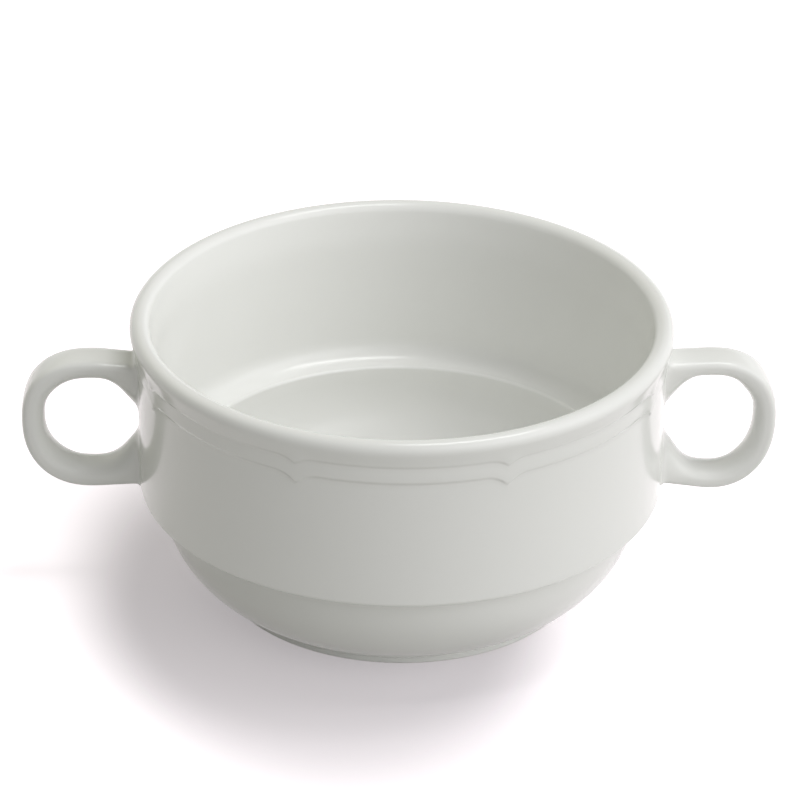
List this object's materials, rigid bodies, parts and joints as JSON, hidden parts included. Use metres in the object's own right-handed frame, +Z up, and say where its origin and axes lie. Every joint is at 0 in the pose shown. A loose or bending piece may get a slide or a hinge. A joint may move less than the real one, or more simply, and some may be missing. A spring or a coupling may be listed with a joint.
{
  "type": "bouillon cup",
  "caption": "Low two-handled soup cup in white glazed porcelain, with a nesting step, a foot ring and a scalloped relief line under the rim.",
  "frame": {"origin": "centre of the foot ring's underside, on the surface that the cup stands on", "axes": "+Z up through the middle of the bowl, handles along X, the face seen in the picture towards -Y"},
  "size_m": [0.1474, 0.105, 0.057],
  "materials": {
    "porcelain_glaze": "gloss"
  },
  "bodies": {
    "root": {"bouillon_cup": "porcelain_glaze"}
  },
  "joints": []
}
